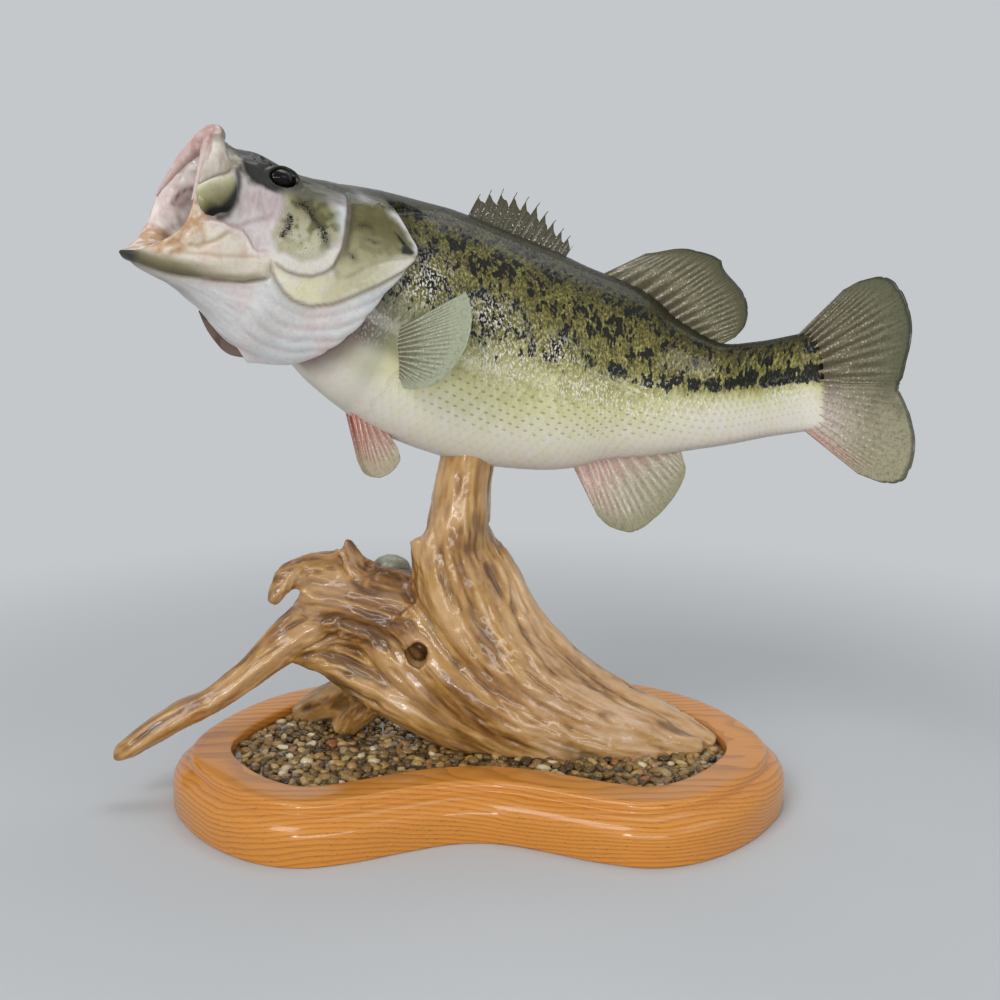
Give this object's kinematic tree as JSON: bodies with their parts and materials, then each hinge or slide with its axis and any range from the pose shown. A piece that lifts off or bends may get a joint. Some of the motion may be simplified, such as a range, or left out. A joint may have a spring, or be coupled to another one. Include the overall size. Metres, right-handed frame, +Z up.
{
  "type": "mounted largemouth bass on driftwood",
  "caption": "Taxidermy freshwater bass with a wide open mouth and swept tail, held above a kidney-shaped oak base by a gnarled driftwood root set in a bed of small river pebbles.",
  "frame": {"origin": "middle of the underside of the oak base, on the surface it stands on", "axes": "+Z up; the fish's head points to -X and its left flank faces -Y; the waist of the base faces -Y"},
  "size_m": [0.4763, 0.2612, 0.4225],
  "materials": {
    "skin": "wet-look clear coat, olive back to cream belly",
    "mouth": "pink lining and lips, glossy",
    "fins": "thin glossy fin membrane with rays",
    "eye_glass": "polished black eye",
    "driftwood": "lacquered, deep grain",
    "oak": "satin varnish, straight grain",
    "gravel": "small river pebbles set in clear resin",
    "stone": "smooth grey-green pebble"
  },
  "bodies": {
    "root": {"head": "skin", "lower_jaw": "skin", "gill_cover_left": "skin", "gill_cover_right": "skin", "maxilla_left": "skin", "maxilla_right": "skin", "trunk": "skin", "tail": "skin", "upper_jaw": "mouth", "tongue": "mouth", "eye_left": "eye_glass", "eye_right": "eye_glass", "dorsal_fin_spiny": "fins", "dorsal_fin_soft": "fins", "caudal_fin": "fins", "anal_fin": "fins", "pectoral_fin_left": "fins", "pectoral_fin_right": "fins", "pelvic_fin_left": "fins", "pelvic_fin_right": "fins", "driftwood": "driftwood", "oak_base": "oak", "gravel_bed": "gravel", "river_stone": "stone"}
  },
  "joints": []
}
